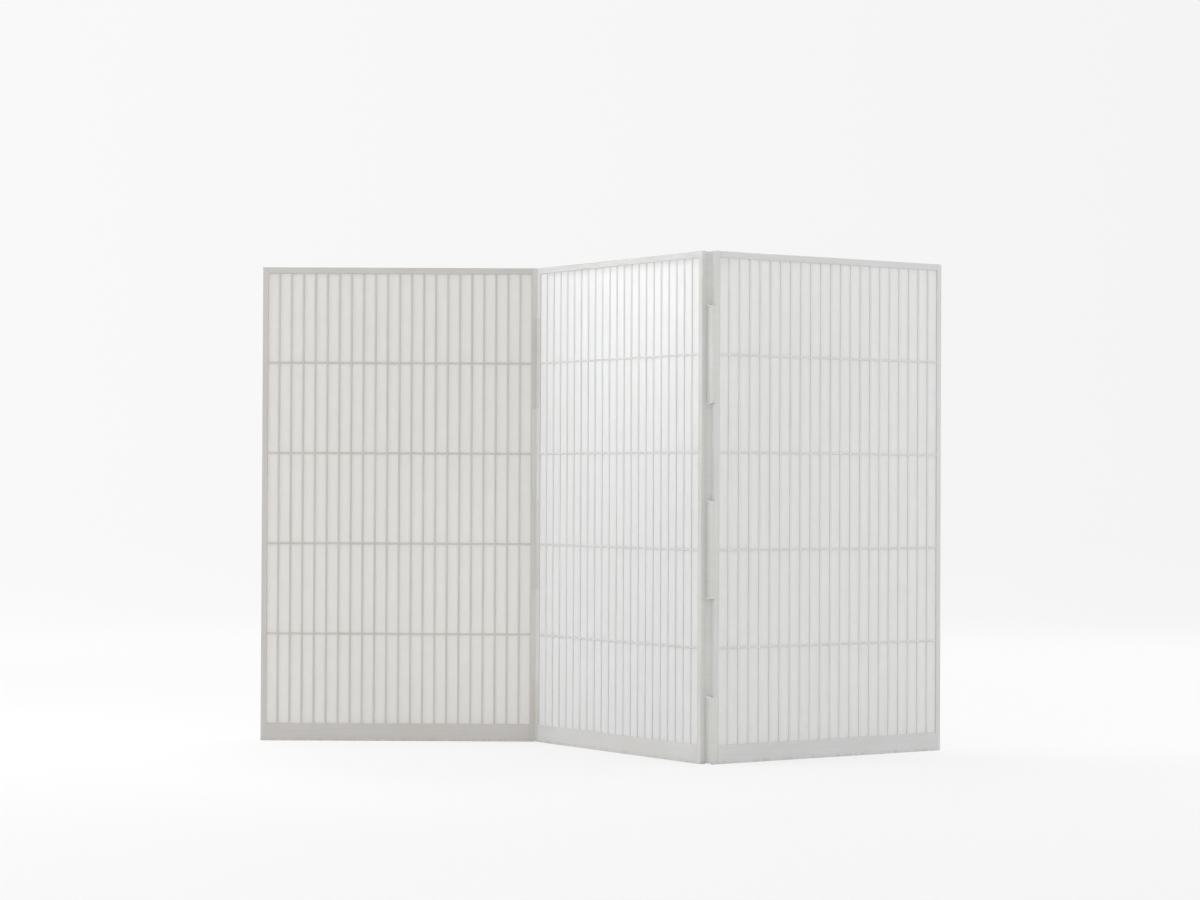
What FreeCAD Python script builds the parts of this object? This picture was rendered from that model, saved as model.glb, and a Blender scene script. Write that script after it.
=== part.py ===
"""Three-panel shoji folding screen, standing in a zigzag on its bottom edges.

Millimetres, +Z up. The left panel lies along +X and the viewer stands on the -Y side.
Every panel is built in its own frame and then set in its place in the zigzag:
    x runs along the panel from its left end,
    y runs from the front face (0) to the back face,
    z runs up from the floor.
"""
import FreeCAD, Part
import os
from math import cos, radians, sin

# ---- driving dimensions -------------------------------------------------------------

PANEL_WIDTH = 869.0
PANEL_HEIGHT = 1500.0
PANEL_THICKNESS = 18.0

STILE_WIDTH = 17.0
TOP_RAIL_HEIGHT = 19.0
BOTTOM_RAIL_HEIGHT = 55.0

COLUMNS = 22                    # paper cells side by side
ROWS = 5                        # paper cells one above another
BAR_WIDTH = 5.5                 # a lattice bar seen from the front
BAR_DEPTH = 3.0                 # the same bar seen from its side
BAR_SETBACK = 0.5               # lattice face behind the frame's front face

PAPER_THICKNESS = 0.3
PAPER_MARGIN = 0.4              # gap from the paper's edge to the wall of its rebate
REBATE_WIDTH = 4.0              # step round the back of the frame that takes the paper

FRAME_CHAMFER = 0.6
BAR_CHAMFER = 0.4

RAIL_TENON_LENGTH = 11.0
RAIL_TENON_THICKNESS = 6.0
TOP_TENON_SHOULDER = 4.0        # top rail wood above and below its tenon
BOTTOM_TENON_SHOULDER = 9.0     # bottom rail wood above and below its tenon
BAR_TENON_LENGTH = 4.0
BAR_TENON_WIDTH = 3.6
BAR_TENON_DEPTH = 1.6
JOINT_GAP = 0.1                 # play round a tenon in its mortise
LAP_GAP = 0.05                  # play on each side of a half-lapped bar
CUT_PAST = 1.0                  # how far a cutting block runs past the wood

VALLEY_FOLD = 54.8              # left and centre panels, degrees from lying in one line
RIDGE_FOLD = 89.4               # centre and right panels, degrees from lying in one line
VALLEY_SLACK = 0.75             # hinge line beyond the end and in front of the front face
RIDGE_SLACK = 5.2               # hinge line beyond the end and behind the back face

BAND_ROWS = 6                   # hinge bands one above another in each fold
BAND_THICKNESS = 0.6
BAND_LET_IN = 0.5               # depth of the recess that holds a band's glued leg
BAND_RECESS_PLAY = 0.2
FRONT_LEG = 13.0                # glued leg on a front face
BACK_LEG = 12.0                 # glued leg on a back face
BAND_SPACING = 1.0              # gap between one band and the next
BAND_TOP_MARGIN = 1.5
BAND_BOTTOM_MARGIN = 2.5
BAND_BULGE_STEPS = 12           # straight pieces that make up a slack band's curve
BULGE_PULL_AT_BACK = 15.0       # how firmly a slack band keeps on along the centre panel
BULGE_PULL_AT_FRONT = 8.0       # and how firmly along the right panel

# ---- sizes that follow ---------------------------------------------------------------

OPENING_LEFT = STILE_WIDTH
OPENING_RIGHT = PANEL_WIDTH - STILE_WIDTH
OPENING_BOTTOM = BOTTOM_RAIL_HEIGHT
OPENING_TOP = PANEL_HEIGHT - TOP_RAIL_HEIGHT
CELL_WIDTH = (OPENING_RIGHT - OPENING_LEFT - (COLUMNS - 1) * BAR_WIDTH) / COLUMNS
CELL_HEIGHT = (OPENING_TOP - OPENING_BOTTOM - (ROWS - 1) * BAR_WIDTH) / ROWS
BAR_BACK = BAR_SETBACK + BAR_DEPTH
LAP_PLANE = BAR_SETBACK + BAR_DEPTH / 2
BAR_TENON_FRONT = BAR_SETBACK + (BAR_DEPTH - BAR_TENON_DEPTH) / 2
RAIL_TENON_FRONT = (PANEL_THICKNESS - RAIL_TENON_THICKNESS) / 2
BAND_SKIN = BAND_THICKNESS / 2  # from a band's middle to its face
FRONT_SKIN = BAND_LET_IN - BAND_SKIN                    # y of a front leg's middle
BACK_SKIN = PANEL_THICKNESS - BAND_LET_IN + BAND_SKIN   # y of a back leg's middle

SAME_WAY = 1e-6                 # cross product under which two unit directions agree

Vector = FreeCAD.Vector


def column_centres():
    """The x of the middle of each upright bar."""
    first = OPENING_LEFT + CELL_WIDTH + BAR_WIDTH / 2
    return [first + n * (CELL_WIDTH + BAR_WIDTH) for n in range(COLUMNS - 1)]


def row_centres():
    """The z of the middle of each cross bar, from the top one down."""
    first = OPENING_TOP - CELL_HEIGHT - BAR_WIDTH / 2
    return [first - n * (CELL_HEIGHT + BAR_WIDTH) for n in range(ROWS - 1)]


def band_spans():
    """The (low z, high z) of each hinge band, from the top one down.

    One band ends and the next begins half way up each row of paper cells.
    """
    middles = [z + (BAR_WIDTH + CELL_HEIGHT) / 2 for z in row_centres()]
    middles.append(OPENING_BOTTOM + CELL_HEIGHT / 2)
    highs = [PANEL_HEIGHT - BAND_TOP_MARGIN] + [z - BAND_SPACING / 2 for z in middles]
    lows = [z + BAND_SPACING / 2 for z in middles] + [BAND_BOTTOM_MARGIN]
    return list(zip(lows, highs))


# ---- building blocks -----------------------------------------------------------------


def block(x, y, z):
    """A box from three (low, high) pairs."""
    return Part.makeBox(x[1] - x[0], y[1] - y[0], z[1] - z[0], Vector(x[0], y[0], z[0]))


def around(middle, width):
    """The (low, high) pair of a width about its middle."""
    return (middle - width / 2, middle + width / 2)


def wider(span, gap):
    """The same (low, high) pair with a gap added at both ends."""
    return (span[0] - gap, span[1] + gap)


def slab(points, low, high):
    """An upright solid over a closed outline of (x, y) points."""
    corners = [Vector(x, y, low) for x, y in points]
    outline = Part.makePolygon(corners + corners[:1])
    return Part.Face(outline).extrude(Vector(0, 0, high - low))


def chamfer_long_edges(shape, direction):
    """Eases the edges that run along a direction of a plain block."""
    edges = [e for e in shape.Edges if e.tangentAt(0).cross(direction).Length < SAME_WAY]
    return shape.makeChamfer(FRAME_CHAMFER, edges)


# ---- the frame -----------------------------------------------------------------------


def rebate():
    """The space behind the lattice: the opening and the step that takes the paper."""
    return block(
        (OPENING_LEFT - REBATE_WIDTH, OPENING_RIGHT + REBATE_WIDTH),
        (BAR_BACK, PANEL_THICKNESS),
        (OPENING_BOTTOM - REBATE_WIDTH, OPENING_TOP + REBATE_WIDTH),
    )


def rail_tenon_heights(rail):
    """The (low, high) z of the tenon of the top or the bottom rail."""
    if rail == "top":
        return wider((OPENING_TOP, PANEL_HEIGHT), -TOP_TENON_SHOULDER)
    return wider((0, OPENING_BOTTOM), -BOTTOM_TENON_SHOULDER)


def rail_tenons(rail, gap):
    """Both tenons of a rail, or with a gap the mortises that hold them."""
    thick = (RAIL_TENON_FRONT, RAIL_TENON_FRONT + RAIL_TENON_THICKNESS)
    height = rail_tenon_heights(rail)
    left = (OPENING_LEFT - RAIL_TENON_LENGTH - gap, OPENING_LEFT)
    right = (OPENING_RIGHT, OPENING_RIGHT + RAIL_TENON_LENGTH + gap)
    return [block(x, wider(thick, gap), wider(height, gap)) for x in (left, right)]


def cross_bar_tenons(z, gap):
    """Both tenons of a cross bar, or with a gap their mortises in the stiles."""
    thick = wider((BAR_TENON_FRONT, BAR_TENON_FRONT + BAR_TENON_DEPTH), gap)
    height = wider(around(z, BAR_TENON_WIDTH), gap)
    left = (OPENING_LEFT - BAR_TENON_LENGTH - gap, OPENING_LEFT)
    right = (OPENING_RIGHT, OPENING_RIGHT + BAR_TENON_LENGTH + gap)
    return [block(x, thick, height) for x in (left, right)]


def upright_bar_tenons(x, gap):
    """Both tenons of an upright bar, or with a gap their mortises in the rails."""
    thick = wider((BAR_TENON_FRONT, BAR_TENON_FRONT + BAR_TENON_DEPTH), gap)
    width = wider(around(x, BAR_TENON_WIDTH), gap)
    low = (OPENING_BOTTOM - BAR_TENON_LENGTH - gap, OPENING_BOTTOM)
    high = (OPENING_TOP, OPENING_TOP + BAR_TENON_LENGTH + gap)
    return [block(width, thick, z) for z in (low, high)]


def leg_recess(side, face, row):
    """The shallow recess for one band's leg, at a stile's outer edge."""
    reach = FRONT_LEG if face == "front" else BACK_LEG
    reach += BAND_RECESS_PLAY
    if side == "left":
        x = (0, reach)
    else:
        x = (PANEL_WIDTH - reach, PANEL_WIDTH)
    if face == "front":
        y = (0, BAND_LET_IN)
    else:
        y = (PANEL_THICKNESS - BAND_LET_IN, PANEL_THICKNESS)
    return block(x, y, wider(band_spans()[row], BAND_RECESS_PLAY))


def stile(side, hinged):
    """An upright of the frame, with its mortises, rebate and hinge recesses."""
    if side == "left":
        x = (0, OPENING_LEFT)
    else:
        x = (OPENING_RIGHT, PANEL_WIDTH)
    wood = block(x, (0, PANEL_THICKNESS), (0, PANEL_HEIGHT))
    wood = chamfer_long_edges(wood, Vector(0, 0, 1))
    cuts = [rebate()]
    for rail in ("top", "bottom"):
        cuts += rail_tenons(rail, JOINT_GAP)
    for z in row_centres():
        cuts += cross_bar_tenons(z, JOINT_GAP)
    if hinged:
        # a left stile takes the front legs of the even bands and a right stile those of
        # the odd bands, counted from the top, and each takes the other bands' back legs
        for row in range(BAND_ROWS):
            odd_band = row % 2 == 0
            face = "front" if odd_band == (side == "right") else "back"
            cuts.append(leg_recess(side, face, row))
    return wood.cut(cuts)


def rail(name):
    """The top or the bottom rail between the stiles, with a tenon at each end."""
    if name == "top":
        z = (OPENING_TOP, PANEL_HEIGHT)
    else:
        z = (0, OPENING_BOTTOM)
    wood = block((OPENING_LEFT, OPENING_RIGHT), (0, PANEL_THICKNESS), z)
    wood = chamfer_long_edges(wood, Vector(1, 0, 0))
    wood = wood.fuse(rail_tenons(name, 0))
    cuts = [rebate()]
    for x in column_centres():
        cuts += upright_bar_tenons(x, JOINT_GAP)
    return wood.cut(cuts)


# ---- the lattice and the paper -------------------------------------------------------


def bar_section(middle):
    """A bar's outline about its middle: across the bar, then front to back."""
    low, high = around(middle, BAR_WIDTH)
    front = BAR_SETBACK
    eased = BAR_SETBACK + BAR_CHAMFER
    return [
        (low, eased),
        (low + BAR_CHAMFER, front),
        (high - BAR_CHAMFER, front),
        (high, eased),
        (high, BAR_BACK),
        (low, BAR_BACK),
    ]


def upright_bar(x):
    """One upright bar, halved from behind where the cross bars pass."""
    wood = slab(bar_section(x), OPENING_BOTTOM, OPENING_TOP)
    wood = wood.fuse(upright_bar_tenons(x, 0))
    across = wider(around(x, BAR_WIDTH), CUT_PAST)
    behind = (LAP_PLANE, BAR_BACK + CUT_PAST)
    laps = [
        block(across, behind, wider(around(z, BAR_WIDTH), LAP_GAP)) for z in row_centres()
    ]
    return wood.cut(laps)


def cross_bar(z):
    """One cross bar, halved from the front where the upright bars pass."""
    corners = [Vector(OPENING_LEFT, y, height) for height, y in bar_section(z)]
    outline = Part.makePolygon(corners + corners[:1])
    wood = Part.Face(outline).extrude(Vector(OPENING_RIGHT - OPENING_LEFT, 0, 0))
    wood = wood.fuse(cross_bar_tenons(z, 0))
    high = wider(around(z, BAR_WIDTH), CUT_PAST)
    before = (BAR_SETBACK - CUT_PAST, LAP_PLANE)
    laps = [
        block(wider(around(x, BAR_WIDTH), LAP_GAP), before, high) for x in column_centres()
    ]
    return wood.cut(laps)


def paper():
    """One sheet pasted on the back of the lattice and on the step of the frame."""
    margin = REBATE_WIDTH - PAPER_MARGIN
    return block(
        (OPENING_LEFT - margin, OPENING_RIGHT + margin),
        (BAR_BACK, BAR_BACK + PAPER_THICKNESS),
        (OPENING_BOTTOM - margin, OPENING_TOP + margin),
    )


def panel_pieces(name, hinged_sides):
    """Every piece of one panel in the panel's own frame, by node name."""
    pieces = {
        f"{name}_left_stile": stile("left", "left" in hinged_sides),
        f"{name}_right_stile": stile("right", "right" in hinged_sides),
        f"{name}_top_rail": rail("top"),
        f"{name}_bottom_rail": rail("bottom"),
        f"{name}_upright_bars": Part.makeCompound([upright_bar(x) for x in column_centres()]),
        f"{name}_paper": paper(),
    }
    for n, z in enumerate(row_centres(), 1):
        pieces[f"{name}_cross_bar_{n}"] = cross_bar(z)
    return pieces


# ---- the zigzag ----------------------------------------------------------------------


class PanelPlace:
    """Where a panel stands: its left front corner, and its turn from the X axis."""

    def __init__(self, turn, own_point, world_point):
        """Sets the panel so that a point of its own lands on a point of the screen."""
        self.turn = turn
        self.along = Vector(cos(radians(turn)), sin(radians(turn)), 0)
        self.back = Vector(-sin(radians(turn)), cos(radians(turn)), 0)
        self.corner = Vector(0, 0, 0)
        self.corner = world_point - self.point(*own_point)

    def point(self, x, y):
        """A point of the panel's frame in the screen's frame."""
        return self.corner + self.along * x + self.back * y

    def place(self, shape):
        """A piece of the panel, moved to where it stands in the screen."""
        rotation = FreeCAD.Rotation(Vector(0, 0, 1), self.turn)
        moved = shape.copy()
        moved.Placement = FreeCAD.Placement(self.corner, rotation)
        return moved


# A fold's hinge line stands a little off both panels, by the slack of its bands: in
# front of the front faces at the valley, and behind the back faces at the ridge.
VALLEY_LINE = Vector(0, 0, 0)
VALLEY_IN_LEFT = (PANEL_WIDTH + VALLEY_SLACK, -VALLEY_SLACK)
VALLEY_IN_CENTRE = (-VALLEY_SLACK, -VALLEY_SLACK)
RIDGE_IN_CENTRE = (PANEL_WIDTH + RIDGE_SLACK, PANEL_THICKNESS + RIDGE_SLACK)
RIDGE_IN_RIGHT = (-RIDGE_SLACK, PANEL_THICKNESS + RIDGE_SLACK)

left_place = PanelPlace(0, VALLEY_IN_LEFT, VALLEY_LINE)
centre_place = PanelPlace(-VALLEY_FOLD, VALLEY_IN_CENTRE, VALLEY_LINE)
RIDGE_LINE = centre_place.point(*RIDGE_IN_CENTRE)
right_place = PanelPlace(RIDGE_FOLD - VALLEY_FOLD, RIDGE_IN_RIGHT, RIDGE_LINE)


# ---- hinge bands ---------------------------------------------------------------------


def strip(path, low, high):
    """A band of even thickness that follows a path of points on the floor plan."""
    sides = ([], [])
    for n, here in enumerate(path):
        before = path[max(n - 1, 0)]
        after = path[min(n + 1, len(path) - 1)]
        first = (here - before if n else after - here).normalize()
        second = (after - here if n < len(path) - 1 else here - before).normalize()
        mitre = (first + second).normalize()
        reach = BAND_SKIN / mitre.dot(second)
        across = Vector(-mitre.y, mitre.x, 0) * reach
        sides[0].append(here + across)
        sides[1].append(here - across)
    outline = sides[0] + sides[1][::-1]
    return slab([(p.x, p.y) for p in outline], low, high)


def right_end(place, face):
    """A band's glued leg and its turn at a panel's right end, from leg to turn."""
    y, leg = (FRONT_SKIN, FRONT_LEG) if face == "front" else (BACK_SKIN, BACK_LEG)
    return [place.point(PANEL_WIDTH - leg, y), place.point(PANEL_WIDTH + BAND_SKIN, y)]


def left_end(place, face):
    """A band's turn and its glued leg at a panel's left end, from turn to leg."""
    y, leg = (FRONT_SKIN, FRONT_LEG) if face == "front" else (BACK_SKIN, BACK_LEG)
    return [place.point(-BAND_SKIN, y), place.point(leg, y)]


def bulge(start, leaving, end, arriving):
    """Points of the curve that a stiff slack band takes between two turns."""
    points = []
    for n in range(1, BAND_BULGE_STEPS):
        t = n / BAND_BULGE_STEPS
        s = 1 - t
        points.append(
            start * s**3 + leaving * (3 * s * s * t) + arriving * (3 * s * t * t) + end * t**3
        )
    return points


def valley_band(row):
    """A band of the left fold: front of one panel, through the fold, back of the other."""
    low, high = band_spans()[row]
    if row % 2 == 0:
        # round the centre panel's end, from the left panel's front
        turn, leg = left_end(centre_place, "back")
        path = right_end(left_place, "front")
        path += [centre_place.point(-BAND_SKIN, FRONT_SKIN), turn, leg]
    else:
        # round the left panel's end, from the centre panel's front
        leg, turn = right_end(left_place, "back")
        path = [leg, turn, left_place.point(PANEL_WIDTH + BAND_SKIN, FRONT_SKIN)]
        path += left_end(centre_place, "front")
    return strip(path, low, high)


def ridge_band(row):
    """A band of the right fold, drawn tight in the odd rows and slack in the even ones."""
    low, high = band_spans()[row]
    if row % 2 == 0:
        # tight round the centre panel's end, then across to the right panel's back
        path = right_end(centre_place, "front")
        path.append(centre_place.point(PANEL_WIDTH + BAND_SKIN, PANEL_THICKNESS))
        path += left_end(right_place, "back")
    else:
        # slack from the right panel's front to the centre panel's back
        leg, turn = right_end(centre_place, "back")
        front_turn, front_leg = left_end(right_place, "front")
        leaving = turn + centre_place.along * BULGE_PULL_AT_BACK
        arriving = front_turn - right_place.along * BULGE_PULL_AT_FRONT
        path = [leg, turn]
        path += bulge(turn, leaving, front_turn, arriving)
        path += [front_turn, front_leg]
    return strip(path, low, high)


# ---- putting it together -------------------------------------------------------------


def build():
    """Every node's shape by name, with the screen's foot centred on the origin."""
    nodes = {}
    panels = (
        ("left", left_place, ("right",)),
        ("centre", centre_place, ("left", "right")),
        ("right", right_place, ("left",)),
    )
    for name, place, hinged_sides in panels:
        for node, shape in panel_pieces(name, hinged_sides).items():
            nodes[node] = place.place(shape)
    for row in range(BAND_ROWS):
        nodes[f"left_fold_band_{row + 1}"] = valley_band(row)
        nodes[f"right_fold_band_{row + 1}"] = ridge_band(row)

    box = Part.makeCompound(list(nodes.values())).BoundBox
    centring = Vector(-box.Center.x, -box.Center.y, 0)
    for shape in nodes.values():
        shape.translate(centring)
    print("screen measures", round(box.XLength, 2), round(box.YLength, 2), round(box.ZLength, 2))
    print("left fold line", VALLEY_LINE + centring)
    print("right fold line", RIDGE_LINE + centring)
    for name, place, _ in panels:
        print(name, "panel's left front corner", place.corner + centring, "turn", place.turn)
    return nodes


os.makedirs("parts", exist_ok=True)
for node, shape in build().items():
    shape.exportStep(f"parts/{node}.step")
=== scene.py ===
from math import atan2, cos, inf, pi, radians, sin

import bpy
from mathutils import Matrix, Vector, noise


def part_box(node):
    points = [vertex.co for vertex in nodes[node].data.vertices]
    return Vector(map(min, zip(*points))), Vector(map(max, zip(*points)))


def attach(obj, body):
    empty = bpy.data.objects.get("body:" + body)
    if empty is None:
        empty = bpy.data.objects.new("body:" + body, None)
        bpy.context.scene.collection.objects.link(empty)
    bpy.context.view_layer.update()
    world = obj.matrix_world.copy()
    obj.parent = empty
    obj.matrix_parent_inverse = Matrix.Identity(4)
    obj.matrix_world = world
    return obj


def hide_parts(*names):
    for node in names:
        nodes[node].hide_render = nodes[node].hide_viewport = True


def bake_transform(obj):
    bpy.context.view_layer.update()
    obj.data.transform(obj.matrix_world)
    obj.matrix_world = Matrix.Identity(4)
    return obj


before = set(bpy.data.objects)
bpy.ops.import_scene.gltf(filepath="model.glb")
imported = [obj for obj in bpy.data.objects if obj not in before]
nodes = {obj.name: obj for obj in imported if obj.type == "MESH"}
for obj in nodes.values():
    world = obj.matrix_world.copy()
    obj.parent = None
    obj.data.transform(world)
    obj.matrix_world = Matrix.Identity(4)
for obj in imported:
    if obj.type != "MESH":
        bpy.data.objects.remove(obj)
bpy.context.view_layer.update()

mm = 0.001
print("frame loaded:", len(nodes), "pieces")


# Where the three panels stand: the left front corner of each, and its turn about Z.
panels = {
    "left": {"corner": (-1.0630446, 0.3507120), "turn": 0.0},
    "centre": {"corner": (-0.1922494, 0.3497814), "turn": -54.8},
    "right": {"corner": (0.3480798, -0.3673374), "turn": 34.6},
}
panelSize = {
    "width": 869 * mm,
    "thickness": 18 * mm,
    "columns": 22,      # paper cells side by side
    "rows": 5,          # and one above another
}


def panelPoint(panel, x, y, z=0.0):
    # x runs from the panel's left end, y from its front face towards the back
    turn = radians(panels[panel]["turn"])
    corner = panels[panel]["corner"]
    return Vector((
        corner[0] + x * cos(turn) - y * sin(turn),
        corner[1] + x * sin(turn) + y * cos(turn),
        z,
    ))


def deselectAll():
    if bpy.context.object and bpy.context.object.mode != "OBJECT":
        bpy.ops.object.mode_set(mode="OBJECT")
    bpy.ops.object.select_all(action="DESELECT")


cameraView = {
    "place": (0.0516, -8.7487, 0.8121),
    "yaw": 0.27,      # to the left, in degrees
    "pitch": 0.707,   # upwards
    "roll": 0.26,
    "lens": 86.108,
    "sensor": 36.0,
    "farthest": 200.0,
}


def addCamera():
    bpy.ops.object.camera_add(location=cameraView["place"])
    camera = bpy.context.object
    camera.name = "photoCamera"
    turn = (
        Matrix.Rotation(radians(cameraView["yaw"]), 3, "Z")
        @ Matrix.Rotation(radians(90 + cameraView["pitch"]), 3, "X")
        @ Matrix.Rotation(radians(cameraView["roll"]), 3, "Z")
    )
    camera.rotation_euler = turn.to_euler()
    camera.data.sensor_fit = "HORIZONTAL"
    camera.data.sensor_width = cameraView["sensor"]
    camera.data.lens = cameraView["lens"]
    camera.data.clip_end = cameraView["farthest"]
    bpy.context.scene.camera = camera


# Small helpers for materials and shader node trees.
def blankMaterial(name):
    material = bpy.data.materials.new(name)
    material.use_nodes = True
    tree = material.node_tree
    tree.nodes.clear()
    out = tree.nodes.new("ShaderNodeOutputMaterial")
    return material, tree, out


def newGroup(name, inputs, outputs):
    group = bpy.data.node_groups.new(name, "ShaderNodeTree")
    for label, kind, value in inputs:
        socket = group.interface.new_socket(label, in_out="INPUT", socket_type=kind)
        if value is not None:
            socket.default_value = value
    for label, kind in outputs:
        group.interface.new_socket(label, in_out="OUTPUT", socket_type=kind)
    return group, group.nodes.new("NodeGroupInput"), group.nodes.new("NodeGroupOutput")


def scaled(tree, vector, scale):
    # the same pattern, squeezed or stretched along each axis
    node = tree.nodes.new("ShaderNodeVectorMath")
    node.operation = "MULTIPLY"
    node.inputs[1].default_value = scale
    tree.links.new(vector, node.inputs[0])
    return node.outputs["Vector"]


def noiseOf(tree, vector, detail, roughness, distortion):
    node = tree.nodes.new("ShaderNodeTexNoise")
    node.inputs["Scale"].default_value = 1.0
    node.inputs["Detail"].default_value = detail
    node.inputs["Roughness"].default_value = roughness
    node.inputs["Distortion"].default_value = distortion
    tree.links.new(vector, node.inputs["Vector"])
    return node.outputs["Fac"]


def ranged(tree, value, low, high, toLow=0.0, toHigh=1.0, smooth=True):
    node = tree.nodes.new("ShaderNodeMapRange")
    node.interpolation_type = "SMOOTHSTEP" if smooth else "LINEAR"
    node.inputs["From Min"].default_value = low
    node.inputs["From Max"].default_value = high
    node.inputs["To Min"].default_value = toLow
    node.inputs["To Max"].default_value = toHigh
    tree.links.new(value, node.inputs["Value"])
    return node.outputs["Result"]


def maths(tree, operation, first, second=0.0):
    node = tree.nodes.new("ShaderNodeMath")
    node.operation = operation
    for socket, value in zip(node.inputs, (first, second)):
        if isinstance(value, (int, float)):
            socket.default_value = value
        else:
            tree.links.new(value, socket)
    return node.outputs["Value"]


def mixed(tree, factor, first, second, blend="MIX"):
    # a Mix node has its two colours at inputs 6 and 7, and their mixture at output 2
    node = tree.nodes.new("ShaderNodeMix")
    node.data_type = "RGBA"
    node.blend_type = blend
    sockets = (node.inputs[0], node.inputs[6], node.inputs[7])
    for socket, value in zip(sockets, (factor, first, second)):
        if isinstance(value, (int, float, tuple)):
            socket.default_value = value
        else:
            tree.links.new(value, socket)
    return node.outputs[2]


def patternOf(tree, vector, look):
    # noise at its own scale, of which one range of values is spread out from 0 to 1
    value = noiseOf(tree, scaled(tree, vector, look["scale"]), *look["noise"])
    return ranged(tree, value, *look["range"])


def blended(tree, parts):
    # the sum of several values, each times its own share
    total = None
    for value, share in parts:
        part = maths(tree, "MULTIPLY", value, share)
        total = part if total is None else maths(tree, "ADD", total, part)
    return total


studioLight = {
    "roomStrength": 1.00,
    "roomColor": (1.0, 1.0, 1.0, 1.0),
    "backgroundLeft": 0.945,
    "backgroundRight": 0.905,
    "backgroundSpan": 0.2,      # sideways share of the view direction
    "softBoxes": {
        "keyLeft": {
            "place": (-3.3, -0.1, 2.6),
            "aim": (0.1, 0.0, 0.9),
            "size": (1.4, 1.4),
            "power": 30.0,
            "spread": 180,
        },
        "fillRight": {
            "place": (3.3, -1.1, 1.7),
            "aim": (0.7, -0.1, 0.8),
            "size": (1.4, 1.4),
            "power": 9.0,
            "spread": 180,
        },
        # a strip behind the centre panel, whose top the light comes through
        "glowBehindFold": {
            "place": (0.364, 0.114, 1.90),
            "aim": (0.119, -0.059, 1.24),
            "size": (0.85, 0.12),
            "power": 1.7,
            "spread": 64,
        },
        # two narrow boxes, for the centre panel's top and for the corner at its left
        "topLeft": {
            "place": (-2.62, -1.30, 1.9),
            "aim": (0.18, -0.16, 1.42),
            "size": (0.6, 0.15),
            "power": 0.28,
            "spread": 28,
        },
        "cornerLift": {
            "place": (-0.45, -2.9, 0.55),
            "aim": (-0.30, 0.35, 0.45),
            "size": (0.3, 0.9),
            "power": 0.08,
            "spread": 16,
        },
    },
}


def addSoftBox(name, box):
    bpy.ops.object.light_add(type="AREA", location=box["place"])
    lamp = bpy.context.object
    lamp.name = name
    aim = Vector(box["aim"]) - Vector(box["place"])
    lamp.rotation_euler = aim.to_track_quat("-Z", "Y").to_euler()
    lamp.data.shape = "RECTANGLE"
    lamp.data.size, lamp.data.size_y = box["size"]
    lamp.data.energy = box["power"]
    lamp.data.spread = radians(box["spread"])
    lamp.visible_camera = False


def backgroundWhite(tree, across):
    # what the camera sees behind the screen, a little whiter on the left
    span = studioLight["backgroundSpan"]
    left, right = studioLight["backgroundLeft"], studioLight["backgroundRight"]
    return ranged(tree, across, -span, span, left, right, smooth=False)


def addRoom():
    world = bpy.data.worlds.new("paleRoom")
    world.use_nodes = True
    bpy.context.scene.world = world
    tree = world.node_tree
    tree.nodes.clear()
    link = tree.links.new
    out = tree.nodes.new("ShaderNodeOutputWorld")
    room = tree.nodes.new("ShaderNodeBackground")
    room.inputs["Color"].default_value = studioLight["roomColor"]
    room.inputs["Strength"].default_value = studioLight["roomStrength"]
    direction = tree.nodes.new("ShaderNodeTexCoord")
    split = tree.nodes.new("ShaderNodeSeparateXYZ")
    link(direction.outputs["Generated"], split.inputs["Vector"])
    seen = tree.nodes.new("ShaderNodeBackground")
    link(backgroundWhite(tree, split.outputs["X"]), seen.inputs["Color"])
    rays = tree.nodes.new("ShaderNodeLightPath")
    either = maths(tree, "MAXIMUM", rays.outputs["Is Camera Ray"], rays.outputs["Is Glossy Ray"])
    mix = tree.nodes.new("ShaderNodeMixShader")
    link(either, mix.inputs["Fac"])
    link(room.outputs["Background"], mix.inputs[1])
    link(seen.outputs["Background"], mix.inputs[2])
    link(mix.outputs["Shader"], out.inputs["Surface"])


floorLook = {
    "radius": 60.0,
    "edges": 128,
    "color": (0.86, 0.86, 0.86, 1.0),
    "roughness": 0.75,
    "gloss": 0.2,
    "whiteShare": 0.60,           # how much the camera sees of the room's white near the screen
    "share": (2.0, 7.0),          # it grows to all between these distances from the middle
    "fanFrom": -8.7487,           # the tones spread out from this y, in front of the screen
    "closest": 3.0,               # nearer than this to it they stay the same
    "lift": (0.0, 0.02),          # nothing far off, and whiter near by
    "liftReach": (0.024, 0.090),  # one over the distance in metres, far off and near by
    "patch": (0.04, 0.09),        # painted light: whiter again behind the screen's foot, left and right, where light from behind falls on the floor
    "patchFront": (-0.8, 0.4),    # the y where the patch begins and has its full strength
    "patchBack": (2.0, 10.0),     # and where it starts to fade and is gone
}


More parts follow.
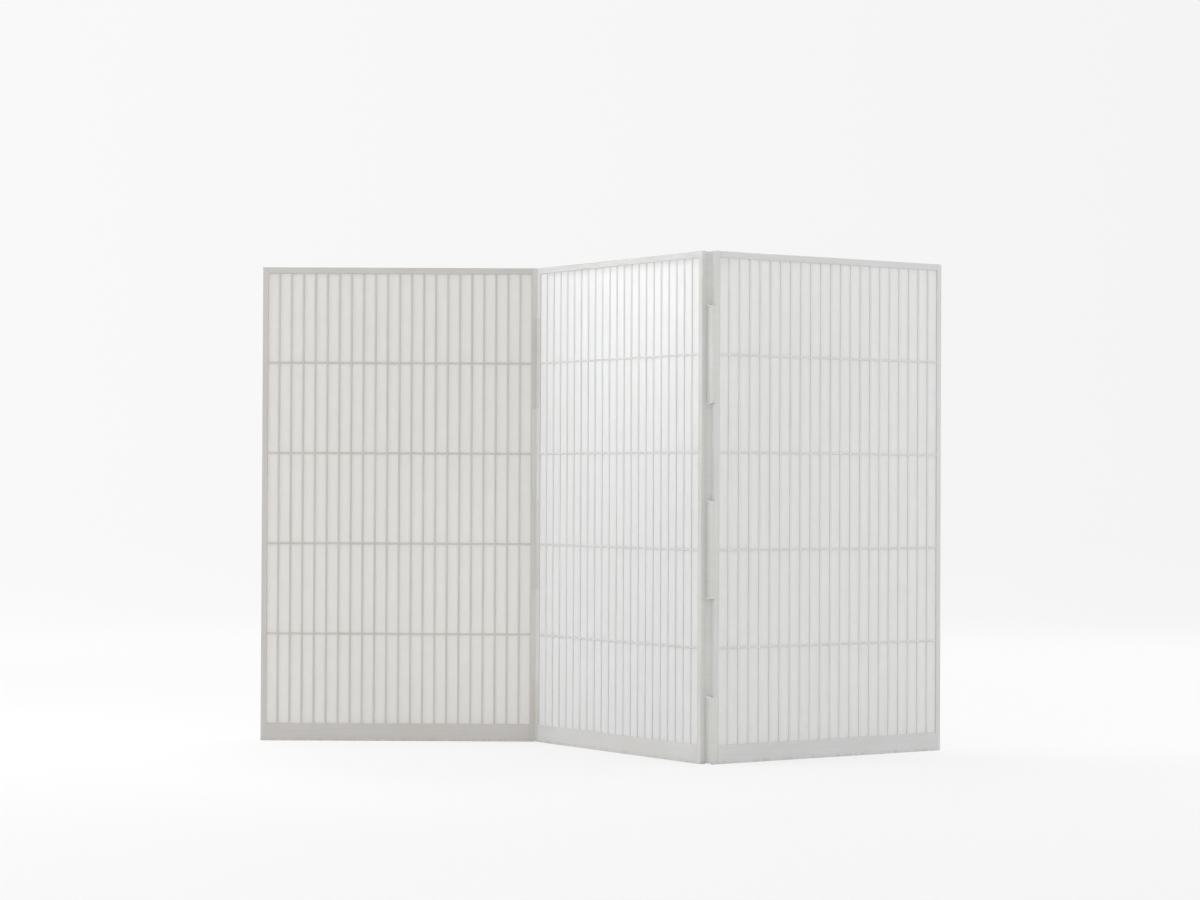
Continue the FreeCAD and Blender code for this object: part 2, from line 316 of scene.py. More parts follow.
def floorWhite(tree):
    place = tree.nodes.new("ShaderNodeTexCoord")
    split = tree.nodes.new("ShaderNodeSeparateXYZ")
    tree.links.new(place.outputs["Object"], split.inputs["Vector"])
    x, y = split.outputs["X"], split.outputs["Y"]
    away = maths(tree, "SUBTRACT", y, floorLook["fanFrom"])
    away = maths(tree, "MAXIMUM", away, floorLook["closest"])
    nearness = maths(tree, "DIVIDE", 1.0, away)
    across = maths(tree, "MULTIPLY", x, nearness)
    lift = ranged(tree, nearness, *floorLook["liftReach"], *floorLook["lift"], smooth=False)
    span = studioLight["backgroundSpan"]
    # painted light on the floor behind the screen's foot
    patch = ranged(tree, across, -span, span, *floorLook["patch"], smooth=False)
    patch = maths(tree, "MULTIPLY", patch, ranged(tree, y, *floorLook["patchFront"]))
    patch = maths(tree, "MULTIPLY", patch, ranged(tree, y, *floorLook["patchBack"], 1.0, 0.0))
    white = maths(tree, "ADD", backgroundWhite(tree, across), maths(tree, "ADD", lift, patch))
    distance = tree.nodes.new("ShaderNodeVectorMath")
    distance.operation = "LENGTH"
    tree.links.new(place.outputs["Object"], distance.inputs[0])
    share = ranged(tree, distance.outputs["Value"], *floorLook["share"], floorLook["whiteShare"], 1.0)
    return white, share


def addFloor():
    # the camera sees part of the room's white in the floor, and far off only that
    deselectAll()
    bpy.ops.mesh.primitive_circle_add(
        vertices=floorLook["edges"],
        radius=floorLook["radius"],
        fill_type="NGON",
    )
    floor = bpy.context.object
    floor.name = "studioFloor"
    material, tree, out = blankMaterial("floorPaint")
    floor.data.materials.append(material)
    link = tree.links.new
    paint = tree.nodes.new("ShaderNodeBsdfPrincipled")
    paint.inputs["Base Color"].default_value = floorLook["color"]
    paint.inputs["Roughness"].default_value = floorLook["roughness"]
    paint.inputs["Specular IOR Level"].default_value = floorLook["gloss"]
    white, share = floorWhite(tree)
    glow = tree.nodes.new("ShaderNodeEmission")
    link(white, glow.inputs["Color"])
    rays = tree.nodes.new("ShaderNodeLightPath")
    mix = tree.nodes.new("ShaderNodeMixShader")
    link(maths(tree, "MULTIPLY", share, rays.outputs["Is Camera Ray"]), mix.inputs["Fac"])
    link(paint.outputs["BSDF"], mix.inputs[1])
    link(glow.outputs["Emission"], mix.inputs[2])
    link(mix.outputs["Shader"], out.inputs["Surface"])


addCamera()
addRoom()
for boxName, boxValues in studioLight["softBoxes"].items():
    addSoftBox(boxName, boxValues)
addFloor()
bpy.context.scene.view_settings.view_transform = "Standard"
print("camera, lamps and floor done")


# A pattern has its repeats per metre along X, Y and Z, then its noise's detail, roughness and
# distortion, and the range of that noise that is used.
grainLook = {
    "rings": {"scale": (300, 300, 5), "noise": (2.0, 0.45, 0.6), "range": (0.38, 0.64)},
    "fibres": {"scale": (1300, 1300, 16), "noise": (3.0, 0.6, 0.0), "range": (0.3, 0.7)},
    "clouds": {"scale": (16, 16, 1.3), "noise": (2.0, 0.5, 0.3), "range": (0.3, 0.7)},
    "flecks": {"scale": (2600, 2600, 90), "noise": (1.0, 0.5, 0.0), "range": (0.66, 0.76)},
    "ringShare": 0.34,        # of the dark tone
    "fibreShare": 0.40,
    "cloudShare": 0.26,
    "fleckShare": 0.90,
    "ringHeight": 0.35,       # of the bump, from which the flecks are cut
    "fibreHeight": 0.60,
}


def makeGrainGroup():
    # straight grain that runs along Z of the vector it is given, in metres
    group, start, end = newGroup(
        "straightGrain",
        [
            ("Vector", "NodeSocketVector", None),
            ("Pale", "NodeSocketColor", (0.6, 0.6, 0.58, 1)),
            ("Dark", "NodeSocketColor", (0.5, 0.5, 0.47, 1)),
            ("Smooth", "NodeSocketFloat", 0.42),
            ("Rough", "NodeSocketFloat", 0.62),
        ],
        [
            ("Color", "NodeSocketColor"),
            ("Roughness", "NodeSocketFloat"),
            ("Height", "NodeSocketFloat"),
        ],
    )
    vector = start.outputs["Vector"]
    rings = patternOf(group, vector, grainLook["rings"])
    fibres = patternOf(group, vector, grainLook["fibres"])
    clouds = patternOf(group, vector, grainLook["clouds"])
    flecks = patternOf(group, vector, grainLook["flecks"])
    tone = blended(group, [
        (rings, grainLook["ringShare"]),
        (fibres, grainLook["fibreShare"]),
        (clouds, grainLook["cloudShare"]),
    ])
    tone = maths(group, "MAXIMUM", tone, maths(group, "MULTIPLY", flecks, grainLook["fleckShare"]))
    color = mixed(group, tone, start.outputs["Pale"], start.outputs["Dark"])
    rough = group.nodes.new("ShaderNodeMapRange")
    group.links.new(fibres, rough.inputs["Value"])
    group.links.new(start.outputs["Smooth"], rough.inputs["To Min"])
    group.links.new(start.outputs["Rough"], rough.inputs["To Max"])
    height = blended(group, [
        (fibres, grainLook["fibreHeight"]),
        (rings, grainLook["ringHeight"]),
    ])
    height = maths(group, "SUBTRACT", height, flecks)
    group.links.new(color, end.inputs["Color"])
    group.links.new(rough.outputs["Result"], end.inputs["Roughness"])
    group.links.new(height, end.inputs["Height"])
    return group


footAndWarmthLook = {
    "footDarkeningHeight": 14 * mm,      # the lowest edge, next to the floor, is darker in patches
    "footDarkenings": {"scale": (60, 60, 25), "noise": (3.0, 0.6, 0.0), "range": (0.42, 0.62)},
    "handling": {"scale": (7, 7, 5), "noise": (2.0, 0.5, 0.0), "range": (0.35, 0.7)},
    "footDarkeningColor": (0.30, 0.29, 0.27, 1),
    "footDarkeningShare": 0.30,
    "handlingColor": (0.93, 0.915, 0.88, 1),
    "handlingShare": 0.35,
}


def makeFootAndWarmthGroup():
    # patchy darkening along the foot next to the floor, and a faint warm unevenness over the whole
    # height
    group, start, end = newGroup(
        "footDarkAndWarmth",
        [
            ("Vector", "NodeSocketVector", None),
            ("Color", "NodeSocketColor", (0.6, 0.6, 0.6, 1)),
            ("Amount", "NodeSocketFloat", 1.0),
        ],
        [("Color", "NodeSocketColor"), ("Mask", "NodeSocketFloat")],
    )
    vector = start.outputs["Vector"]
    amount = start.outputs["Amount"]
    split = group.nodes.new("ShaderNodeSeparateXYZ")
    group.links.new(vector, split.inputs["Vector"])
    low = ranged(group, split.outputs["Z"], 0.0, footAndWarmthLook["footDarkeningHeight"], 1.0, 0.0)
    footDarkening = maths(group, "MULTIPLY", low, patternOf(group, vector, footAndWarmthLook["footDarkenings"]))
    footDarkening = maths(group, "MULTIPLY", footDarkening, footAndWarmthLook["footDarkeningShare"])
    footDarkening = maths(group, "MULTIPLY", footDarkening, amount)
    handled = maths(group, "MULTIPLY", patternOf(group, vector, footAndWarmthLook["handling"]), amount)
    handled = maths(group, "MULTIPLY", handled, footAndWarmthLook["handlingShare"])
    warm = mixed(group, handled, start.outputs["Color"], footAndWarmthLook["handlingColor"], "MULTIPLY")
    color = mixed(group, footDarkening, warm, footAndWarmthLook["footDarkeningColor"])
    group.links.new(color, end.inputs["Color"])
    group.links.new(footDarkening, end.inputs["Mask"])
    return group


fibreLook = {
    # a thread is where the noise is within its width of the middle
    "longFibres": {"scale": (70, 55, 1), "width": 0.012, "distortion": 2.2},
    "shortFibres": {"scale": (190, 210, 1), "width": 0.020, "distortion": 1.4},
    "threadDetail": 1.5,
    "threadRoughness": 0.5,
    "patches": {"scale": (22, 20, 1), "noise": (2.0, 0.5, 0.0)},
    "longWhere": (0.45, 0.62),      # patches that have long fibres
    "shortWhere": (0.55, 0.40),     # and those that have short ones
    "shortShare": 0.6,
    "clouds": {"scale": (34, 26, 1), "noise": (3.0, 0.55, 0.4)},
    "laidLines": {"scale": (520, 9, 1), "noise": (1.0, 0.5, 0.0)},
    "cloudShare": 0.7,
    "laidShare": 0.3,
    "thickness": (0.32, 0.68),      # the range from thin to thick paper
    "fibreHeight": 0.7,
    "laidHeight": 0.4,
}


def makeFibreGroup():
    # mulberry paper: long curved fibres, uneven thickness and faint laid lines
    group, start, end = newGroup(
        "mulberryFibre",
        [("Vector", "NodeSocketVector", None)],
        [
            ("Fibre", "NodeSocketFloat"),
            ("Cloud", "NodeSocketFloat"),
            ("Height", "NodeSocketFloat"),
        ],
    )
    vector = start.outputs["Vector"]

    def plainNoise(look):
        return noiseOf(group, scaled(group, vector, look["scale"]), *look["noise"])

    def threads(look):
        stretched = scaled(group, vector, look["scale"])
        detail, roughness = fibreLook["threadDetail"], fibreLook["threadRoughness"]
        value = noiseOf(group, stretched, detail, roughness, look["distortion"])
        away = maths(group, "ABSOLUTE", maths(group, "SUBTRACT", value, 0.5))
        return ranged(group, away, 0.0, look["width"], 1.0, 0.0)

    patches = plainNoise(fibreLook["patches"])
    longOnes = threads(fibreLook["longFibres"])
    longOnes = maths(group, "MULTIPLY", longOnes, ranged(group, patches, *fibreLook["longWhere"]))
    shortOnes = threads(fibreLook["shortFibres"])
    shortOnes = maths(group, "MULTIPLY", shortOnes, ranged(group, patches, *fibreLook["shortWhere"]))
    shortOnes = maths(group, "MULTIPLY", shortOnes, fibreLook["shortShare"])
    fibre = maths(group, "MAXIMUM", longOnes, shortOnes)
    clouds = plainNoise(fibreLook["clouds"])
    laid = plainNoise(fibreLook["laidLines"])
    cloud = blended(group, [(clouds, fibreLook["cloudShare"]), (laid, fibreLook["laidShare"])])
    cloud = ranged(group, cloud, *fibreLook["thickness"])
    height = blended(group, [(fibre, fibreLook["fibreHeight"]), (laid, fibreLook["laidHeight"])])
    group.links.new(fibre, end.inputs["Fibre"])
    group.links.new(cloud, end.inputs["Cloud"])
    group.links.new(height, end.inputs["Height"])
    return group


weaveLook = {
    "threadsPerMetre": 1500.0,
    "slubs": (420, 14, 1),
    "crossSlubs": (14, 420, 1),
    "slubNoise": (2.0, 0.6, 0.0),
    "slubRange": (0.75, 1.25),      # of both noises together
    "crossingShare": 0.2,           # of the tone
    "slubShare": 0.6,
    "toneRange": (-0.2, 0.8),
    "slubHeight": 0.6,
}


def makeWeaveGroup():
    # plain weave: threads along U and V, over and under by turns
    group, start, end = newGroup(
        "plainWeave",
        [("Vector", "NodeSocketVector", None)],
        [("Tone", "NodeSocketFloat"), ("Height", "NodeSocketFloat")],
    )
    vector = start.outputs["Vector"]
    split = group.nodes.new("ShaderNodeSeparateXYZ")
    group.links.new(vector, split.inputs["Vector"])
    turns = 2 * pi * weaveLook["threadsPerMetre"]
    across = maths(group, "SINE", maths(group, "MULTIPLY", split.outputs["X"], turns))
    along = maths(group, "SINE", maths(group, "MULTIPLY", split.outputs["Y"], turns))
    crossing = maths(group, "MULTIPLY", across, along)
    slubs = noiseOf(group, scaled(group, vector, weaveLook["slubs"]), *weaveLook["slubNoise"])
    others = noiseOf(group, scaled(group, vector, weaveLook["crossSlubs"]), *weaveLook["slubNoise"])
    uneven = ranged(group, maths(group, "ADD", slubs, others), *weaveLook["slubRange"])
    tone = blended(group, [(crossing, weaveLook["crossingShare"]), (uneven, weaveLook["slubShare"])])
    height = maths(group, "ADD", crossing, maths(group, "MULTIPLY", uneven, weaveLook["slubHeight"]))
    group.links.new(ranged(group, tone, *weaveLook["toneRange"]), end.inputs["Tone"])
    group.links.new(height, end.inputs["Height"])
    return group


grainGroup = makeGrainGroup()
footAndWarmthGroup = makeFootAndWarmthGroup()
fibreGroup = makeFibreGroup()
weaveGroup = makeWeaveGroup()
print("node groups done")


woodLook = {
    # painted light and shade: each panel's wood gets its own tint, lighter or darker by how the light
    # falls on that panel; the left one is also a little browner
    "frameTint": {
        "left": (0.945, 0.925, 0.915),
        "centre": (1.060, 1.065, 1.075),
        "right": (1.035, 1.045, 1.068),
    },
    "latticeTint": {
        "left": (0.975, 0.955, 0.940),
        "centre": (1.215, 1.220, 1.235),
        "right": (1.175, 1.185, 1.205),
    },
    "framePale": (0.613, 0.608, 0.596),
    "frameDark": (0.545, 0.539, 0.525),
    "latticePale": (0.615, 0.609, 0.596),
    "latticeDark": (0.520, 0.512, 0.497),
    # painted shade: the cross bars are a little darker than the upright ones, by a different amount on
    # each panel
    "acrossPaintedShade": {"left": 0.99, "centre": 0.91, "right": 0.93},
    "smooth": 0.46,
    "rough": 0.66,
    "gloss": 0.30,
    "bump": 0.35,
    "bumpDepth": 0.25 * mm,
    "footAndWarmthAmount": 1.0,
    # each panel and kind of piece takes its grain from another place in the pattern
    "grainShiftX": {"left": 1.48, "centre": 2.22, "right": 1.85},
    "grainShiftY": {"frame": 1.05, "lattice": 1.47},
    "grainShiftZ": 0.11,
}


def placeGroup(tree, group, vector):
    node = tree.nodes.new("ShaderNodeGroup")
    node.node_tree = group
    tree.links.new(vector, node.inputs["Vector"])
    return node


def bumpOf(tree, height, strength, depth):
    bump = tree.nodes.new("ShaderNodeBump")
    bump.inputs["Strength"].default_value = strength
    bump.inputs["Distance"].default_value = depth
    tree.links.new(height, bump.inputs["Height"])
    return bump.outputs["Normal"]


def tinted(color, litShadeTint):
    return tuple(channel * share for channel, share in zip(color, litShadeTint)) + (1,)


def makeWood(panel, kind, upright):
    # kind is "frame" or "lattice"; the grain runs up, or along the panel
    material, tree, out = blankMaterial(f"{panel}{kind.title()}{'Upright' if upright else 'Across'}")
    link = tree.links.new
    turn = radians(panels[panel]["turn"])
    place = tree.nodes.new("ShaderNodeTexCoord")
    mapping = tree.nodes.new("ShaderNodeMapping")
    if upright:
        mapping.inputs["Rotation"].default_value = (0, 0, -turn)
    else:
        mapping.inputs["Rotation"].default_value = (pi / 2, turn - pi / 2, 0)
    mapping.inputs["Location"].default_value = (
        woodLook["grainShiftX"][panel],
        woodLook["grainShiftY"][kind],
        woodLook["grainShiftZ"],
    )
    link(place.outputs["Object"], mapping.inputs["Vector"])
    grain = placeGroup(tree, grainGroup, mapping.outputs["Vector"])
    # the panel's tint is painted light and shade on its wood
    litShadeTint = woodLook[kind + "Tint"][panel]
    # painted shade darkens the cross bars
    if kind == "lattice" and not upright:
        litShadeTint = [share * woodLook["acrossPaintedShade"][panel] for share in litShadeTint]
    grain.inputs["Pale"].default_value = tinted(woodLook[kind + "Pale"], litShadeTint)
    grain.inputs["Dark"].default_value = tinted(woodLook[kind + "Dark"], litShadeTint)
    grain.inputs["Smooth"].default_value = woodLook["smooth"]
    grain.inputs["Rough"].default_value = woodLook["rough"]
    footAndWarmth = placeGroup(tree, footAndWarmthGroup, place.outputs["Object"])
    footAndWarmth.inputs["Amount"].default_value = woodLook["footAndWarmthAmount"]
    link(grain.outputs["Color"], footAndWarmth.inputs["Color"])
    wood = tree.nodes.new("ShaderNodeBsdfPrincipled")
    wood.inputs["Specular IOR Level"].default_value = woodLook["gloss"]
    link(footAndWarmth.outputs["Color"], wood.inputs["Base Color"])
    link(grain.outputs["Roughness"], wood.inputs["Roughness"])
    relief = bumpOf(tree, grain.outputs["Height"], woodLook["bump"], woodLook["bumpDepth"])
    link(relief, wood.inputs["Normal"])
    link(wood.outputs["BSDF"], out.inputs["Surface"])
    return material


def finishNode(node, material):
    for slot in nodes[node].material_slots:
        slot.material = material


for panelName in panels:
    frameUpright = makeWood(panelName, "frame", True)
    frameAcross = makeWood(panelName, "frame", False)
    latticeUpright = makeWood(panelName, "lattice", True)
    latticeAcross = makeWood(panelName, "lattice", False)
    finishNode(f"{panelName}_left_stile", frameUpright)
    finishNode(f"{panelName}_right_stile", frameUpright)
    finishNode(f"{panelName}_top_rail", frameAcross)
    finishNode(f"{panelName}_bottom_rail", frameAcross)
    finishNode(f"{panelName}_upright_bars", latticeUpright)
    for rowNumber in range(1, panelSize["rows"]):
        finishNode(f"{panelName}_cross_bar_{rowNumber}", latticeAcross)
print("wood done")


paperSheet = {
    # from the panel's left end, the floor and its front face
    "left": 13.4 * mm,
    "right": 855.6 * mm,
    "low": 51.4 * mm,
    "high": 1484.6 * mm,
    "front": 3.5 * mm,
    "thickness": 0.3 * mm,
    "openingLeft": 17 * mm,
    "openingRight": 852 * mm,
    "openingLow": 55 * mm,
    "openingHigh": 1481 * mm,
    "cutsPerCell": 6,
    "cutsPerRow": 14,
    "cockle": 0.08 * mm,      # how far it stands in and out between the bars
    "cockleSize": 90 * mm,
    "cockleMean": 0.35,       # a little more out than in
    "cockleRise": 2.5,        # how soon it has its full height beside a cross bar
    "smoothAngle": 40,
}
paperLook = {
    # painted light and shade: each panel's paper, of one kind, gets its own tint for how the light falls
    # on it, the centre one brighter and cooler
    "litShadeTint": {
        "left": (1.026, 1.014, 0.989),
        "centre": (1.024, 1.033, 1.055),
        "right": (1.013, 1.015, 1.020),
    },
    "pale": (0.800, 0.798, 0.788),
    "thin": (0.765, 0.762, 0.752),
    "fibre": (0.860, 0.858, 0.846),
    "fibreShare": 0.5,
    "through": (0.93, 0.93, 0.925, 1),        # light that comes from behind
    "throughThick": (0.80, 0.795, 0.77, 1),   # and where the paper is thick
    "fibreVeil": 0.35,
    "cloudVeil": 0.10,
    "throughShare": 0.36,
    "roughness": 0.82,
    "gloss": 0.18,
    "bump": 0.30,
    "bumpDepth": 0.12 * mm,
}


def makePaperMaterial(panel):
    material, tree, out = blankMaterial(f"{panel}ShojiPaper")
    # the panel's tint is painted light and shade on its paper
    litShadeTint = paperLook["litShadeTint"][panel]
    link = tree.links.new
    place = tree.nodes.new("ShaderNodeUVMap")
    place.uv_map = "UVMap"
    mapping = tree.nodes.new("ShaderNodeMapping")
    width = paperSheet["right"] - paperSheet["left"]
    height = paperSheet["high"] - paperSheet["low"]
    mapping.inputs["Scale"].default_value = (width, height, 1)
    link(place.outputs["UV"], mapping.inputs["Vector"])
    fibre = placeGroup(tree, fibreGroup, mapping.outputs["Vector"])
    thin = tinted(paperLook["thin"], litShadeTint)
    pale = tinted(paperLook["pale"], litShadeTint)
    cloudy = mixed(tree, fibre.outputs["Cloud"], thin, pale)
    threads = maths(tree, "MULTIPLY", fibre.outputs["Fibre"], paperLook["fibreShare"])
    color = mixed(tree, threads, cloudy, tinted(paperLook["fibre"], litShadeTint))
    normal = bumpOf(tree, fibre.outputs["Height"], paperLook["bump"], paperLook["bumpDepth"])
    front = tree.nodes.new("ShaderNodeBsdfPrincipled")
    front.inputs["Roughness"].default_value = paperLook["roughness"]
    front.inputs["Specular IOR Level"].default_value = paperLook["gloss"]
    link(color, front.inputs["Base Color"])
    link(normal, front.inputs["Normal"])
    # fibres and thick places let less light through
    veil = blended(tree, [
        (fibre.outputs["Fibre"], paperLook["fibreVeil"]),
        (fibre.outputs["Cloud"], paperLook["cloudVeil"]),
    ])
    lit = mixed(tree, veil, paperLook["through"], paperLook["throughThick"])
    behind = tree.nodes.new("ShaderNodeBsdfTranslucent")
    link(lit, behind.inputs["Color"])
    link(normal, behind.inputs["Normal"])
    mix = tree.nodes.new("ShaderNodeMixShader")
    mix.inputs["Fac"].default_value = paperLook["throughShare"]
    link(front.outputs["BSDF"], mix.inputs[1])
    link(behind.outputs["BSDF"], mix.inputs[2])
    link(mix.outputs["Shader"], out.inputs["Surface"])
    return material


def cellShare(value, low, high, cells):
    # how far from the nearest bars, 0 at a bar and 1 half way between two
    inside = (value - low) / (high - low) * cells
    if inside <= 0 or inside >= cells:
        return 0.0
    return sin(pi * (inside % 1.0))


def makePaper(panel, material):
    width = paperSheet["right"] - paperSheet["left"]
    height = paperSheet["high"] - paperSheet["low"]
    middleX = (paperSheet["left"] + paperSheet["right"]) / 2
    middleZ = (paperSheet["low"] + paperSheet["high"]) / 2
    middleY = paperSheet["front"] + paperSheet["thickness"] / 2
    turn = radians(panels[panel]["turn"])
    deselectAll()
    bpy.ops.mesh.primitive_grid_add(
        x_subdivisions=panelSize["columns"] * paperSheet["cutsPerCell"],
        y_subdivisions=panelSize["rows"] * paperSheet["cutsPerRow"],
        size=1,
        location=panelPoint(panel, middleX, middleY, middleZ),
        rotation=(pi / 2, 0, turn),
    )
    paper = bpy.context.object
    paper.name = f"{panel}PaperSheet"
    paper.scale = (width, height, 1)
    bpy.ops.object.transform_apply(location=True, rotation=True, scale=True)

    # between the bars that hold it the paper stands in and out a little
    along = Vector((cos(turn), sin(turn), 0))
    back = Vector((-sin(turn), cos(turn), 0))
    corner = panelPoint(panel, 0, 0)
    for vertex in paper.data.vertices:
        x = (vertex.co - corner).dot(along)
        z = vertex.co.z
        cell = cellShare(x, paperSheet["openingLeft"], paperSheet["openingRight"], panelSize["columns"])
        row = cellShare(z, paperSheet["openingLow"], paperSheet["openingHigh"], panelSize["rows"])
        wander = noise.noise(vertex.co / paperSheet["cockleSize"])
        freely = cell * min(1.0, row * paperSheet["cockleRise"])
        vertex.co += back * paperSheet["cockle"] * freely * (paperSheet["cockleMean"] + wander)
    thicken = paper.modifiers.new("paperThickness", "SOLIDIFY")
    thicken.thickness = paperSheet["thickness"]
    thicken.offset = 0
    bpy.ops.object.modifier_apply(modifier=thicken.name)
    bpy.ops.object.shade_smooth_by_angle(angle=radians(paperSheet["smoothAngle"]))
    paper.data.materials.append(material)
    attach(paper, f"{panel}_panel")
    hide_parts(f"{panel}_paper")


for panelName in panels:
    makePaper(panelName, makePaperMaterial(panelName))
print("paper done")


bandSize = {
    "count": 6,                  # one above another in each fold
    "thickness": 0.6 * mm,
    "letIn": 0.5 * mm,           # depth of the wood's recess for the glued legs
    "frontLeg": 13 * mm,
    "backLeg": 12 * mm,
    "cornerRadius": 0.55 * mm,
    "cornerSteps": 4,
    "pullAtBack": 15 * mm,       # how firmly a slack band keeps on along the centre panel
    "pullAtFront": 8 * mm,       # and how firmly along the right panel
    "bulgeSteps": 14,
    "valleyBridgeSteps": 6,      # pieces of the free stretch between two panels
    "ridgeBridgeSteps": 12,
    "edgeSoftness": 0.15 * mm,
    "edgeSteps": 2,
    "edgeAngle": 60,             # sharper edges than this are softened
    "smoothAngle": 35,
}
bandLook = {
    # painted shade: the left fold's bands, in the valley, are darker than the right fold's, of the same
    # cloth
    "litShadeTint": {"left": (0.925, 0.921, 0.912), "right": (1.010, 1.010, 1.010)},
    "pale": (0.648, 0.650, 0.632),
    "dark": (0.590, 0.592, 0.574),
    "roughness": 0.85,
    "gloss": 0.15,
    "bump": 0.5,
    "bumpDepth": 0.12 * mm,
    "footAndWarmthAmount": 1.0,
}


def makeBandMaterial(fold):
    material, tree, out = blankMaterial(f"{fold}HingeCloth")
    # the fold's tint is painted shade on the cloth
    litShadeTint = bandLook["litShadeTint"][fold]
    link = tree.links.new
    place = tree.nodes.new("ShaderNodeUVMap")
    place.uv_map = "UVMap"
    weave = placeGroup(tree, weaveGroup, place.outputs["UV"])
    dark = tinted(bandLook["dark"], litShadeTint)
    pale = tinted(bandLook["pale"], litShadeTint)
    color = mixed(tree, weave.outputs["Tone"], dark, pale)
    here = tree.nodes.new("ShaderNodeTexCoord")
    footAndWarmth = placeGroup(tree, footAndWarmthGroup, here.outputs["Object"])
    footAndWarmth.inputs["Amount"].default_value = bandLook["footAndWarmthAmount"]
    link(color, footAndWarmth.inputs["Color"])
    cloth = tree.nodes.new("ShaderNodeBsdfPrincipled")
    cloth.inputs["Roughness"].default_value = bandLook["roughness"]
    cloth.inputs["Specular IOR Level"].default_value = bandLook["gloss"]
    link(footAndWarmth.outputs["Color"], cloth.inputs["Base Color"])
    relief = bumpOf(tree, weave.outputs["Height"], bandLook["bump"], bandLook["bumpDepth"])
    link(relief, cloth.inputs["Normal"])
    link(cloth.outputs["BSDF"], out.inputs["Surface"])
    return material


# a band's middle lies half its thickness off the wood, on either face
skin = bandSize["thickness"] / 2
frontSkin = bandSize["letIn"] - skin
backSkin = panelSize["thickness"] - bandSize["letIn"] + skin
legs = {
    "front": (frontSkin, bandSize["frontLeg"]),
    "back": (backSkin, bandSize["backLeg"]),
}


def rightEnd(panel, face):
    # the glued leg and the turn at a panel's right end
    y, leg = legs[face]
    width = panelSize["width"]
    return [panelPoint(panel, width - leg, y), panelPoint(panel, width + skin, y)]


def leftEnd(panel, face):
    # the turn and the glued leg at a panel's left end
    y, leg = legs[face]
    return [panelPoint(panel, -skin, y), panelPoint(panel, leg, y)]


def between(first, last, steps):
    # points on the straight line between two, without its ends
    return [first.lerp(last, step / steps) for step in range(1, steps)]


def bulge(start, leaving, end, arriving):
    # a slack band's curve, which starts towards one point and ends away from the other
    points = []
    for step in range(1, bandSize["bulgeSteps"]):
        t = step / bandSize["bulgeSteps"]
        s = 1 - t
        points.append(start * s**3 + leaving * (3 * s * s * t) + arriving * (3 * s * t * t) + end * t**3)
    return points


def valleyPath(wrapsCentre):
    # the left fold's band seen from above, and the corners that it turns
    leftTurn = panelPoint("left", panelSize["width"] + skin, frontSkin)
    centreTurn = panelPoint("centre", -skin, frontSkin)
    bridge = between(leftTurn, centreTurn, bandSize["valleyBridgeSteps"])
    if wrapsCentre:
        leg = rightEnd("left", "front")[0]
        turn, lastLeg = leftEnd("centre", "back")
        return [leg, leftTurn] + bridge + [centreTurn, turn, lastLeg], [leftTurn, centreTurn, turn]
    leg, turn = rightEnd("left", "back")
    lastLeg = leftEnd("centre", "front")[1]
    return [leg, turn, leftTurn] + bridge + [centreTurn, lastLeg], [turn, leftTurn, centreTurn]


def ridgePath(drawnTight):
    # the right fold's band: tight round the centre panel's end, or slack from its back face
    if drawnTight:
        leg, turn = rightEnd("centre", "front")
        backTurn = panelPoint("centre", panelSize["width"] + skin, panelSize["thickness"])
        rightTurn, lastLeg = leftEnd("right", "back")
        bridge = between(backTurn, rightTurn, bandSize["ridgeBridgeSteps"])
        return [leg, turn, backTurn] + bridge + [rightTurn, lastLeg], [turn, backTurn, rightTurn]
    leg, turn = rightEnd("centre", "back")
    frontTurn, lastLeg = leftEnd("right", "front")
    leaving = turn + (turn - leg).normalized() * bandSize["pullAtBack"]
    arriving = frontTurn - (lastLeg - frontTurn).normalized() * bandSize["pullAtFront"]
    return [leg, turn] + bulge(turn, leaving, frontTurn, arriving) + [frontTurn, lastLeg], []


def selectEdgesAt(piece, points, tolerance=0.02 * mm):
    # the upright edges that stand on these points of the floor plan
    mesh = piece.data
    for part in (mesh.vertices, mesh.edges, mesh.polygons):
        part.foreach_set("select", [False] * len(part))
    for edge in mesh.edges:
        ends = [mesh.vertices[n] for n in edge.vertices]
        if abs(ends[0].co.z - ends[1].co.z) < tolerance:
            continue
        for point in points:
            if all((end.co.xy - point.xy).length < tolerance for end in ends):
                edge.select = True
                ends[0].select = ends[1].select = True


def distanceAlong(path, place):
    # how far along the band's own length a point lies
    best, answer, walked = inf, 0.0, 0.0
    for first, second in zip(path, path[1:]):
        run = (second - first).xy
        share = max(0.0, min(1.0, (place.xy - first.xy).dot(run) / run.length_squared))
        away = (first.xy + run * share - place.xy).length
        if away < best:
            best, answer = away, walked + share * run.length
        walked += run.length
    return answer


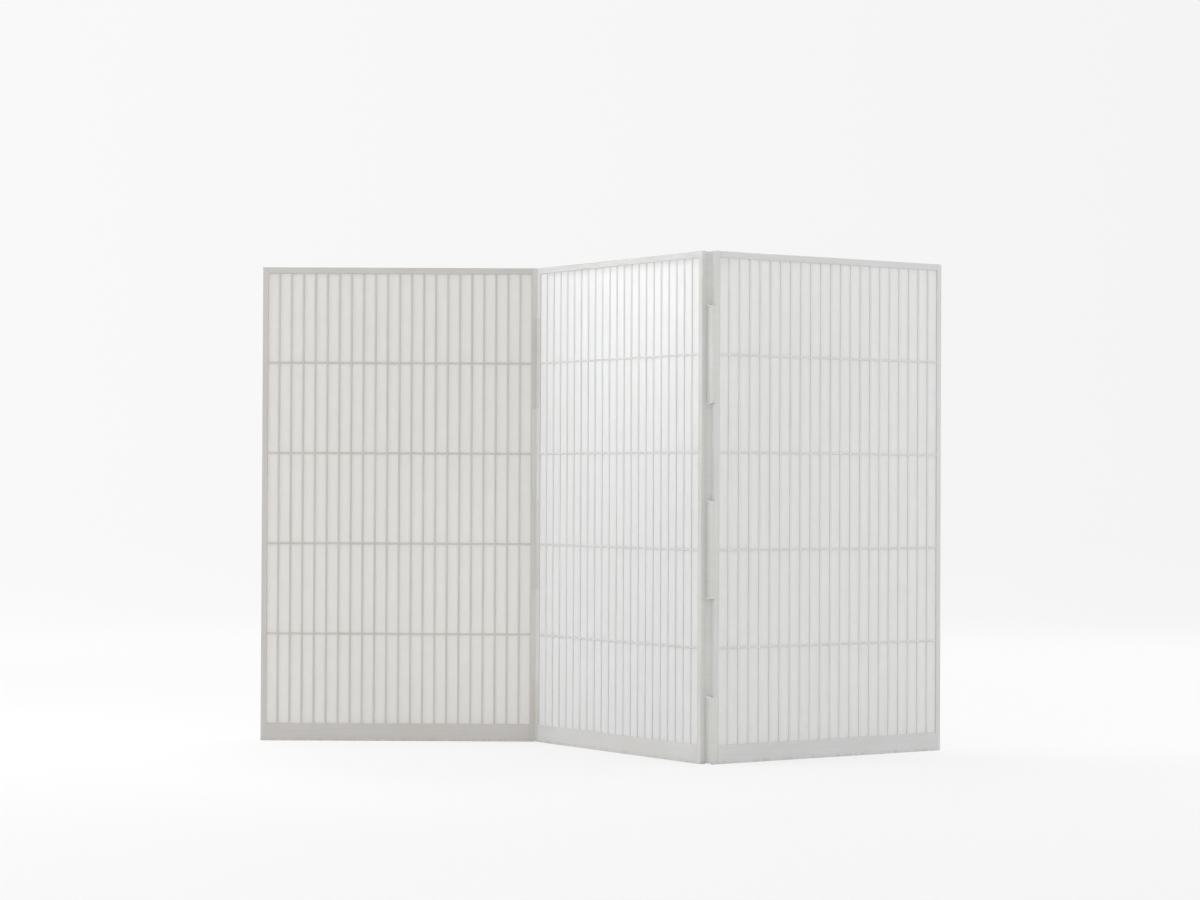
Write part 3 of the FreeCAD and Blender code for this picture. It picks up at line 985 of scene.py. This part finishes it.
def makeBand(node, path, corners, material):
    low, high = (corner[2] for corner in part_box(node))
    first, second = path[0], path[1]
    run = second - first
    middle = (first + second) / 2
    deselectAll()
    bpy.ops.mesh.primitive_plane_add(
        size=1,
        location=(middle.x, middle.y, (low + high) / 2),
        rotation=(pi / 2, 0, atan2(run.y, run.x)),
    )
    band = bpy.context.object
    band.name = node.replace("_fold_band_", "HingeBand")
    band.scale = (run.length, high - low, 1)
    bpy.ops.object.transform_apply(location=True, rotation=True, scale=True)

    # pull its far edge round the panel's end, run by run
    selectEdgesAt(band, [second])
    bpy.ops.object.mode_set(mode="EDIT")
    bpy.ops.mesh.select_mode(type="EDGE")
    for here, after in zip(path[1:], path[2:]):
        step = after - here
        bpy.ops.mesh.extrude_region_move(TRANSFORM_OT_translate={"value": (step.x, step.y, 0)})
    bpy.ops.object.mode_set(mode="OBJECT")
    if corners:
        selectEdgesAt(band, corners)
        bpy.ops.object.mode_set(mode="EDIT")
        bpy.ops.mesh.select_mode(type="EDGE")
        bpy.ops.mesh.bevel(
            offset=bandSize["cornerRadius"],
            segments=bandSize["cornerSteps"],
            affect="EDGES",
        )
        bpy.ops.object.mode_set(mode="OBJECT")
    layer = band.data.uv_layers["UVMap"]
    for loop in band.data.loops:
        place = band.data.vertices[loop.vertex_index].co
        layer.data[loop.index].uv = (distanceAlong(path, place), place.z)
    thicken = band.modifiers.new("clothThickness", "SOLIDIFY")
    thicken.thickness = bandSize["thickness"]
    thicken.offset = 0
    thicken.use_even_offset = True
    soften = band.modifiers.new("softEdge", "BEVEL")
    soften.width = bandSize["edgeSoftness"]
    soften.segments = bandSize["edgeSteps"]
    soften.limit_method = "ANGLE"
    soften.angle_limit = radians(bandSize["edgeAngle"])
    bpy.ops.object.modifier_apply(modifier=thicken.name)
    bpy.ops.object.modifier_apply(modifier=soften.name)
    bpy.ops.object.mode_set(mode="EDIT")
    bpy.ops.mesh.select_all(action="SELECT")
    bpy.ops.mesh.normals_make_consistent(inside=False)
    bpy.ops.object.mode_set(mode="OBJECT")
    bpy.ops.object.shade_smooth_by_angle(angle=radians(bandSize["smoothAngle"]))
    band.data.materials.append(material)
    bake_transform(band)
    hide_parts(node)


leftCloth = makeBandMaterial("left")
rightCloth = makeBandMaterial("right")
for bandNumber in range(1, bandSize["count"] + 1):
    odd = bandNumber % 2 == 1       # the bands go round the panels by turns
    valley, valleyCorners = valleyPath(wrapsCentre=odd)
    makeBand(
        f"left_fold_band_{bandNumber}",
        valley,
        valleyCorners,
        leftCloth,
    )
    ridge, ridgeCorners = ridgePath(drawnTight=odd)
    makeBand(
        f"right_fold_band_{bandNumber}",
        ridge,
        ridgeCorners,
        rightCloth,
    )
print("hinge bands done")
